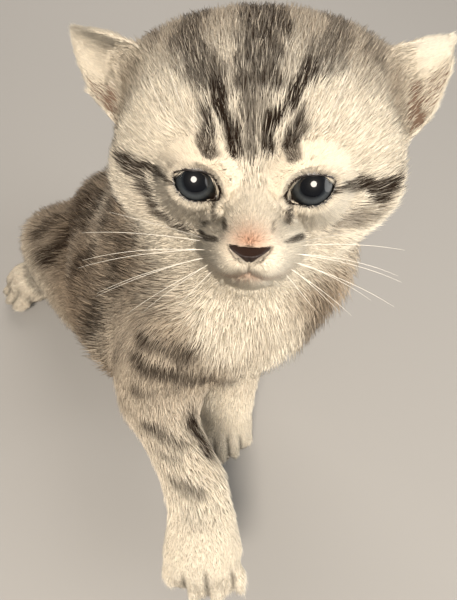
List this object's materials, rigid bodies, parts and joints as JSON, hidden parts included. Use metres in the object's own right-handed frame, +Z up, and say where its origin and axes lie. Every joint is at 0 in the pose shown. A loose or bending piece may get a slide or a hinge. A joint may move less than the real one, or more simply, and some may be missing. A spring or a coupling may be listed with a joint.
{
  "type": "kitten",
  "caption": "Young tabby kitten in a crouch, with the right forepaw lifted in a step and the head turned to the right, as a still life-size model.",
  "frame": {"origin": "middle of the kitten's footprint box, on the floor", "axes": "+Z up, the trunk runs along Y with the forequarters at -Y, the kitten's left side is at +X"},
  "size_m": [0.1228, 0.1912, 0.1479],
  "materials": {
    "coat": "soft short fur, striped grey-brown and cream",
    "eye": "wet gloss, dark slate blue",
    "nose_leather": "damp satin, dark brown"
  },
  "bodies": {
    "root": {"head": "coat", "neck": "coat", "trunk": "coat", "foreleg_right": "coat", "foreleg_left": "coat", "hindleg_right": "coat", "hindleg_left": "coat", "tail": "coat", "ear_right": "coat", "ear_left": "coat", "eye_right": "eye", "eye_left": "eye", "nose": "nose_leather"}
  },
  "joints": []
}
